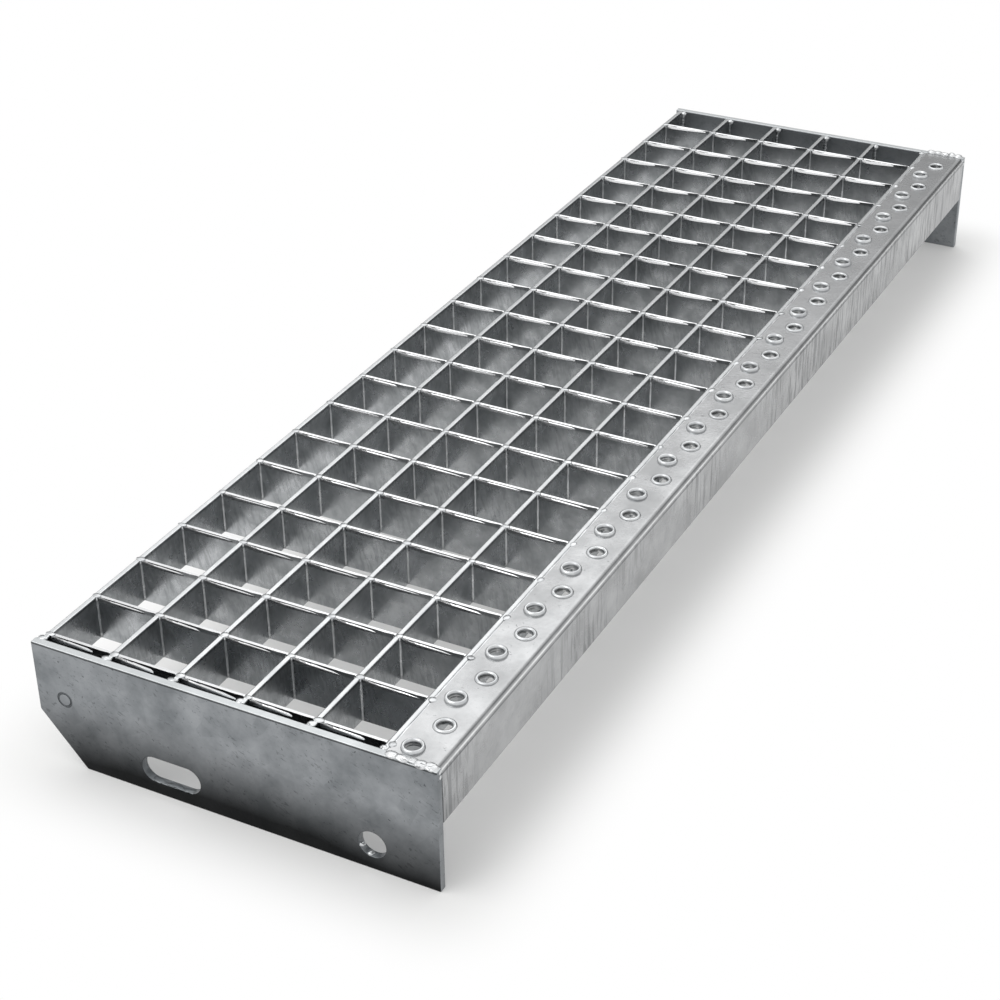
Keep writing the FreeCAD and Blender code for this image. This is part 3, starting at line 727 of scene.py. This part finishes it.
waver = add(nosing_tree, "ShaderNodeTexNoise", {
    "Vector": nosing_place, "Scale": 1 / BEND_LINE_WAVER, "Detail": 3.0,
})
patchy = add(nosing_tree, "ShaderNodeMapRange", {
    "Value": waver.outputs["Fac"], "From Min": WAVER_RANGE[0], "From Max": WAVER_RANGE[1],
    "To Min": WAVER_LEAST,
})
# Painted shade and highlight along the bend, patchy along its length.
for line_z, reach, code, strength in BEND_LINES:
    off_line = add(nosing_tree, "ShaderNodeMath", {0: height, 1: line_z}, operation="SUBTRACT")
    far_off = add(nosing_tree, "ShaderNodeMath", {0: off_line.outputs["Value"]}, operation="ABSOLUTE")
    near_line = add(nosing_tree, "ShaderNodeMapRange", {
        "Value": far_off.outputs["Value"], "From Max": reach, "To Min": strength, "To Max": 0.0,
    }, interpolation_type="SMOOTHSTEP")
    line_share = add(nosing_tree, "ShaderNodeMath", {
        0: near_line.outputs["Result"], 1: patchy.outputs["Result"],
    }, operation="MULTIPLY")
    nosing_colour = add(nosing_tree, "ShaderNodeMix", {
        0: line_share.outputs["Value"], 6: nosing_colour, 7: linear(code),
    }, data_type="RGBA").outputs[2]
nosing_tree.links.new(nosing_colour, nosing_shader.inputs["Base Color"])
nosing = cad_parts["nosing"]
nosing.data.materials.clear()
nosing.data.materials.append(nosing_zinc)

rim_sizes = {
    "Count": GRIP_COUNT, "Pitch": GRIP_PITCH, "Radius": RIM_RADIUS, "Half Width": RIM_HALF_WIDTH,
    "Height": RIM_HEIGHT, "Front Share": FRONT_RIM_SHARE, "Finish": run_zinc,
}
rim_tree, given = new_geometry_tree("grip_rims", rim_sizes)
step = add(rim_tree, "ShaderNodeCombineXYZ", {"X": given["Pitch"]})
circle = add(rim_tree, "GeometryNodeCurvePrimitiveCircle", {
    "Resolution": RIM_SIDES, "Radius": given["Radius"],
})
section = add(rim_tree, "GeometryNodeCurvePrimitiveCircle", {"Resolution": RIM_SECTION, "Radius": 1.0})
squash = add(rim_tree, "ShaderNodeCombineXYZ", {"X": given["Half Width"], "Y": given["Height"], "Z": 1.0})
oval = add(rim_tree, "GeometryNodeTransform", {
    "Geometry": section.outputs["Curve"], "Scale": squash.outputs["Vector"],
})
rim = add(rim_tree, "GeometryNodeCurveToMesh", {
    "Curve": circle.outputs["Curve"], "Profile Curve": oval.outputs["Geometry"],
})
front_size = add(rim_tree, "ShaderNodeCombineXYZ", {"X": 1.0, "Y": 1.0, "Z": given["Front Share"]})
both_rows = add(rim_tree, "GeometryNodeJoinGeometry")
for first_hole, rim_size in (
    ((GRIP_FIRST_X, GRIP_REAR_Y, BAR_TOP), (1.0, 1.0, 1.0)),
    ((GRIP_FIRST_X + GRIP_PITCH / 2, GRIP_FRONT_Y, BAR_TOP), front_size.outputs["Vector"]),
):
    holes = add(rim_tree, "GeometryNodeMeshLine", {
        "Count": given["Count"], "Start Location": first_hole, "Offset": step.outputs["Vector"],
    })
    rims = add(rim_tree, "GeometryNodeInstanceOnPoints", {
        "Points": holes.outputs["Mesh"], "Instance": rim.outputs["Mesh"], "Scale": rim_size,
    })
    rim_tree.links.new(rims.outputs["Instances"], both_rows.inputs["Geometry"])
finish_tree(rim_tree, both_rows.outputs["Geometry"], given["Finish"])
settle(grown("grip_rims", rim_tree, rim_sizes), run_zinc)

# Zinc in the joint behind the nosing: the gap between its rear edge and the front long bar is drawn full of
# zinc, a little below the tops, so the joint shows as a thin grey line.
JOINT_REAR_Y = -74.9 * MM
JOINT_FRONT_Y = -75.6 * MM
JOINT_TOP = 61.72 * MM
JOINT_BOTTOM = 60.2 * MM
JOINT_STEP = 4 * MM
JOINT_WAVE = 0.14 * MM
JOINT_WAVES_PER_METRE = (900, 331)
PLATE_INNER_X = 346 * MM

joint = bmesh.new()
stations = int(2 * PLATE_INNER_X / JOINT_STEP)
sections = []
for number in range(stations + 1):
    along = -PLATE_INNER_X + 2 * PLATE_INNER_X * number / stations
    short, long = (along * waves for waves in JOINT_WAVES_PER_METRE)
    crest = JOINT_TOP + JOINT_WAVE * math.sin(short) * math.sin(long + 1)
    rear = [(along, JOINT_REAR_Y, JOINT_BOTTOM), (along, JOINT_REAR_Y, crest)]
    front = [(along, JOINT_FRONT_Y, crest), (along, JOINT_FRONT_Y, JOINT_BOTTOM)]
    sections.append([joint.verts.new(corner) for corner in rear + front])
skin(joint, sections, closed=False)
bmesh.ops.recalc_face_normals(joint, faces=joint.faces)
settle(placed("joint_zinc", mesh_of("joint_zinc", joint)), run_zinc)

# Welds: arc-welded steel under zinc. Lumpy beads close the nosing's ends over the plates and turn down at the
# front corner, a fillet holds each long bar's end, and a tack at each cross bar holds the nosing's rear edge.
BEAD_STEP = 4.4 * MM
BEAD_FIRST_Y = -78.6 * MM
BEAD_COUNT = 5
BEAD_SWAY = 0.4 * MM
BEAD_SWAY_TURN = 2.4
BEAD_LUMPS = {"left": Vector((2.5, 3.3, 1.15)) * MM, "right": Vector((2.6, 2.7, 2.0)) * MM}
BEAD_X = 347.7 * MM
CORNER_LUMP = Vector((1.9, 1.3, 1.7)) * MM
CORNER_X = BEAD_X - 0.3 * MM
CORNER_Y = -99.2 * MM
CORNER_DROPS = (1.4 * MM, 4.0 * MM)
FILLET_LUMP = Vector((1.25, 1.25, 2.7)) * MM
FILLET_COUNT = 9
FILLET_TOP = 2.5 * MM
FILLET_STEP = 2.2 * MM
FILLET_INSET = 0.55 * MM
FILLET_CAP = Vector((2.1, 2.3, 0.8)) * MM
FILLET_CAP_INSET = Vector((1.2, 0.3, 0.5)) * MM
ROUND_CAP = Vector((2.1, 2.1, 1.9)) * MM
ROUND_CAP_INSET = Vector((1.9, 1.4, 1.2)) * MM
TACK_LUMP = Vector((2.3, 1.8, 0.45)) * MM
TACK_Y = -75.25 * MM
TACK_DEPTH = 0.1 * MM
LUMP_RANGE = ((0.75, 0.75, 0.65), (1.1, 1.2, 1.2))
LUMP_TILT = (0.15, 0.2, 0.4)
WELD_PLAY = 0.8 * MM
FILLET_PLAY = 0.3 * MM
WELD_RIPPLES_PER_METRE = 290.0
WELD_DARK = "c2c4c5"
WELD_LIGHT = "e2e3e4"
WELD_CREASE_SHADE = "2c2f31"

# Weld metal under zinc: rippled and bright on its crests, with dashes of painted shade for the creases
# between the ripples.
weld_zinc, crease_tree, crease_place, crease_colour, crease_shader = zinc_coat(
    "galvanised_weld_metal", WELD_DARK, WELD_LIGHT, cloud=5 * MM, grain=0.7 * MM,
    roughness=(0.3, 0.44), relief=0.06 * MM,
)
# Painted shade: dark dashes, placed at random, stand in for the shade in the weld's creases.
dark_dashes(crease_tree, crease_place, crease_colour, crease_shader, WELD_CREASE_SHADE,
      (math.radians(80), 0, math.radians(20)), length=2.2 * MM, width=1.1 * MM, share=0.57, strength=0.8)

weld_sizes = {"Play": WELD_PLAY, "Fineness": 2, "Seed": 11, "Finish": weld_zinc}
weld_tree, given = new_geometry_tree("weld_lumps", weld_sizes)
lump_size = add(weld_tree, "GeometryNodeInputNamedAttribute", {"Name": "lump"}, data_type="FLOAT_VECTOR")
ball = add(weld_tree, "GeometryNodeMeshIcoSphere", {"Radius": 1.0, "Subdivisions": given["Fineness"]})
uneven = add(weld_tree, "FunctionNodeRandomValue", {
    0: LUMP_RANGE[0], 1: LUMP_RANGE[1], "Seed": given["Seed"],
}, data_type="FLOAT_VECTOR")
sized = add(weld_tree, "ShaderNodeVectorMath", {
    0: lump_size.outputs["Attribute"], 1: uneven.outputs["Value"],
}, operation="MULTIPLY")
tilt = add(weld_tree, "FunctionNodeRandomValue", {
    0: [-turn for turn in LUMP_TILT], 1: LUMP_TILT, "Seed": given["Seed"],
}, data_type="FLOAT_VECTOR")
lumps = add(weld_tree, "GeometryNodeInstanceOnPoints", {
    "Points": given["Geometry"], "Instance": ball.outputs["Mesh"], "Scale": sized.outputs["Vector"],
    "Rotation": tilt.outputs["Value"],
})
apart = add(weld_tree, "GeometryNodeRealizeInstances", {"Geometry": lumps.outputs["Instances"]})
ripple = add(weld_tree, "ShaderNodeTexNoise", {"Scale": WELD_RIPPLES_PER_METRE, "Detail": 2.0})
level = add(weld_tree, "ShaderNodeVectorMath", {0: ripple.outputs["Color"], 1: (0.5, 0.5, 0.5)},
            operation="SUBTRACT")
shift = add(weld_tree, "ShaderNodeVectorMath", {0: level.outputs["Vector"], "Scale": given["Play"]},
            operation="SCALE")
rough = add(weld_tree, "GeometryNodeSetPosition", {
    "Geometry": apart.outputs["Geometry"], "Offset": shift.outputs["Vector"],
})
finish_tree(weld_tree, rough.outputs["Geometry"], given["Finish"])


def weld(name, lumps, nodes=(), fineness=2, finish=weld_zinc, play=WELD_PLAY):
    # One lump of metal at each place, with its half sizes; play is how far its surface strays
    spots = bpy.data.meshes.new(name)
    spots.from_pydata([place for place, half in lumps], [], [])
    sizes = spots.attributes.new("lump", "FLOAT_VECTOR", "POINT")
    sizes.data.foreach_set("vector", [share for place, half in lumps for share in half])
    sizes = {**weld_sizes, "Fineness": fineness, "Finish": finish, "Play": play}
    settle(grown(name, weld_tree, sizes, spots), finish, nodes)


for side, away in (("left", -1), ("right", 1)):
    bead = []
    for number in range(BEAD_COUNT):
        sway = BEAD_SWAY * math.sin(BEAD_SWAY_TURN * number)
        bead.append(((away * (BEAD_X + sway), BEAD_FIRST_Y - number * BEAD_STEP, BAR_TOP), BEAD_LUMPS[side]))
    for drop in CORNER_DROPS:
        bead.append(((away * CORNER_X, CORNER_Y, BAR_TOP - drop), CORNER_LUMP))
    weld(f"nosing_bead_run_{side}", bead, [f"nosing_bead_{side}"], fineness=3)

    fillets = []
    caps = []
    for bar in range(len(LONG_BARS)):
        in_front = side == "right" and bar < MESH_ROWS
        toward = -1 if in_front else 1
        corner_y = REAR_BAR_Y - bar * BAR_SPACING + toward * BAR_HALF_THICKNESS
        fillet_x = away * (PLATE_INNER_X - FILLET_INSET)
        for number in range(FILLET_COUNT):
            low = BAR_TOP - FILLET_TOP - number * FILLET_STEP
            fillets.append(((fillet_x, corner_y + toward * FILLET_INSET, low), FILLET_LUMP))
        cap, inset = (ROUND_CAP, ROUND_CAP_INSET) if in_front else (FILLET_CAP, FILLET_CAP_INSET)
        caps.append(((away * (PLATE_INNER_X - inset.x), corner_y - inset.y, BAR_TOP - inset.z), cap))
    weld(f"bar_weld_runs_{side}", fillets, [f"bar_welds_{side}"], finish=bar_zinc, play=FILLET_PLAY)
    weld(f"bar_weld_caps_{side}", caps, finish=run_zinc)

tacks = [((FIRST_CROSS_X + number * CROSS_SPACING, TACK_Y, BAR_TOP - TACK_DEPTH), TACK_LUMP)
         for number in range(CROSS_COUNT)]
weld("nosing_tack_lumps", tacks, ["nosing_tacks"], finish=run_zinc)

# Drips in the left plate's holes: as the tread is lifted from the bath, the last zinc gathers on the lower
# wall of the bolt hole in two bright lumps, and on that of the slot in low dull waves.
HOLE_CENTRE = Vector((-348.3, -68.0, 13.0)) * MM
DRIP_LUMP = Vector((1.6, 1.5, 1.2)) * MM
DRIP_ANGLES = (math.radians(-25), math.radians(-74))
WAVE_LUMP = Vector((1.8, 3.4, 0.5)) * MM
WAVE_PLACES = (23.5 * MM, 29.0 * MM, 33.2 * MM, 39.6 * MM)
SLOT_LOW_Z = 6.4 * MM

drips = []
for around in DRIP_ANGLES:
    drips.append((HOLE_CENTRE + Vector((0, math.cos(around), math.sin(around))) * HOLE_RADIUS, DRIP_LUMP))
weld("bolt_hole_drips", drips, fineness=3, finish=run_zinc)
waves = [(Vector((HOLE_CENTRE.x, along, SLOT_LOW_Z)), WAVE_LUMP) for along in WAVE_PLACES]
weld("slot_drips", waves, fineness=3, finish=plate_zinc)

# Studio: a pale paper floor that keeps the tread's shadow and turns white 50 mm away, white surroundings, a
# large soft light beyond the right plate, a smaller one above the left, and the photograph's view.
FLOOR_SIZE = 40.0
FLOOR_COLOUR = "ededec"
FADE_END = 0.05
FADE_LEAST = 0.15
TREAD_HALF = (0.35, 0.1, 0.0)
BACKGROUND_LIGHT = 0.84
WALL_LIGHT = 0.15
WALL_FROM = math.sin(math.radians(18.5))
WALL_TO = math.sin(math.radians(26.5))
WALL_TOWARDS = (0.97, 0.25, 0.0)
WALL_SPREAD = (0.55, 0.8)
LAMPS = (
    ("soft_light_behind", Vector((1.1, 0.5, 1.6)), 1.5, 6.5),
    ("soft_light_above", Vector((-0.8, 0.6, 1.45)), 1.1, 7.5),
)
LAMP_TARGET = Vector((0, 0, 0.03))
CAMERA_PLACE = (-0.911, -0.4271, 0.5846)
CAMERA_TURN = [math.radians(angle) for angle in (58.516, 0.673, -62.475)]
CAMERA_SENSOR = 36.0
CAMERA_LENS = 75.88


def seen_directly(tree):
    # One for the rays that show the surroundings themselves: to the eye, in the metal or through glass
    rays = add(tree, "ShaderNodeLightPath").outputs
    mirrored = add(tree, "ShaderNodeMath", {0: rays["Is Camera Ray"], 1: rays["Is Glossy Ray"]},
                   operation="MAXIMUM")
    return add(tree, "ShaderNodeMath", {0: mirrored.outputs["Value"], 1: rays["Is Transmission Ray"]},
               operation="MAXIMUM").outputs["Value"]


floor_mesh = bpy.data.meshes.new("studio_floor")
half = FLOOR_SIZE / 2
floor_mesh.from_pydata(
    [(-half, -half, 0), (half, -half, 0), (half, half, 0), (-half, half, 0)], [], [(0, 1, 2, 3)],
)
floor = placed("studio_floor", floor_mesh)
# White studio paper: matt and even, and lost in white light away from the tread.
paper = bpy.data.materials.new("white_studio_paper")
paper.use_nodes = True
paper_tree = paper.node_tree
paper_tree.nodes.clear()
sheet = add(paper_tree, "ShaderNodeBsdfDiffuse", {"Color": linear(FLOOR_COLOUR)})
white = add(paper_tree, "ShaderNodeEmission", {"Color": (1.0, 1.0, 1.0, 1.0), "Strength": 1.0})
floor_place = add(paper_tree, "ShaderNodeTexCoord").outputs["Object"]
offset = add(paper_tree, "ShaderNodeVectorMath", {0: floor_place}, operation="ABSOLUTE")
beyond = add(paper_tree, "ShaderNodeVectorMath", {0: offset.outputs["Vector"], 1: TREAD_HALF},
             operation="SUBTRACT")
outside = add(paper_tree, "ShaderNodeVectorMath", {0: beyond.outputs["Vector"], 1: (0, 0, 0)},
              operation="MAXIMUM")
distance = add(paper_tree, "ShaderNodeVectorMath", {0: outside.outputs["Vector"]}, operation="LENGTH")
fade = add(paper_tree, "ShaderNodeMapRange", {
    "Value": distance.outputs["Value"], "From Max": FADE_END, "To Min": FADE_LEAST,
}, interpolation_type="SMOOTHSTEP")
white_share = add(paper_tree, "ShaderNodeMath", {0: fade.outputs["Result"], 1: seen_directly(paper_tree)},
                  operation="MULTIPLY")
faded = add(paper_tree, "ShaderNodeMixShader", {
    0: white_share.outputs["Value"], 1: sheet.outputs["BSDF"], 2: white.outputs["Emission"],
})
add(paper_tree, "ShaderNodeOutputMaterial", {"Surface": faded.outputs["Shader"]})
floor_mesh.materials.append(paper)

world = bpy.data.worlds.new("studio")
world.use_nodes = True
bpy.context.scene.world = world
sky_tree = world.node_tree
sky_tree.nodes.clear()
# In the metal, the white surroundings darken low down beyond the right plate, as a studio's far wall does.
direction = add(sky_tree, "ShaderNodeTexCoord").outputs["Generated"]
rise = add(sky_tree, "ShaderNodeSeparateXYZ", {"Vector": direction}).outputs["Z"]
low = add(sky_tree, "ShaderNodeMapRange", {
    "Value": rise, "From Min": WALL_FROM, "From Max": WALL_TO, "To Min": 1.0 - WALL_LIGHT, "To Max": 0.0,
}, interpolation_type="SMOOTHSTEP")
ahead = add(sky_tree, "ShaderNodeVectorMath", {0: direction, 1: WALL_TOWARDS}, operation="DOT_PRODUCT")
beyond_end = add(sky_tree, "ShaderNodeMapRange", {
    "Value": ahead.outputs["Value"], "From Min": WALL_SPREAD[0], "From Max": WALL_SPREAD[1],
}, interpolation_type="SMOOTHSTEP")
loss = add(sky_tree, "ShaderNodeMath", {0: low.outputs["Result"], 1: beyond_end.outputs["Result"]},
           operation="MULTIPLY")
wall = add(sky_tree, "ShaderNodeMath", {0: 1.0, 1: loss.outputs["Value"]}, operation="SUBTRACT")
in_metal = add(sky_tree, "ShaderNodeMapRange", {
    "Value": add(sky_tree, "ShaderNodeLightPath").outputs["Is Glossy Ray"],
    "To Min": 1.0, "To Max": wall.outputs["Value"],
})
brightness = add(sky_tree, "ShaderNodeMapRange", {
    "Value": seen_directly(sky_tree), "To Min": BACKGROUND_LIGHT, "To Max": in_metal.outputs["Result"],
})
backdrop = add(sky_tree, "ShaderNodeBackground", {
    "Color": (1.0, 1.0, 1.0, 1.0), "Strength": brightness.outputs["Result"],
})
add(sky_tree, "ShaderNodeOutputWorld", {"Surface": backdrop.outputs["Background"]})

for name, place, size, power in LAMPS:
    lamp = bpy.data.lights.new(name, "AREA")
    lamp.shape = "SQUARE"
    lamp.size = size
    lamp.energy = power
    light = placed(name, lamp)
    light.location = place
    light.rotation_euler = (LAMP_TARGET - place).to_track_quat("-Z", "Y").to_euler()

camera_data = bpy.data.cameras.new("camera")
camera_data.sensor_width = CAMERA_SENSOR
camera_data.lens = CAMERA_LENS
camera = placed("camera", camera_data)
camera.location = CAMERA_PLACE
camera.rotation_euler = CAMERA_TURN
bpy.context.scene.camera = camera
bpy.context.scene.view_settings.view_transform = "Standard"
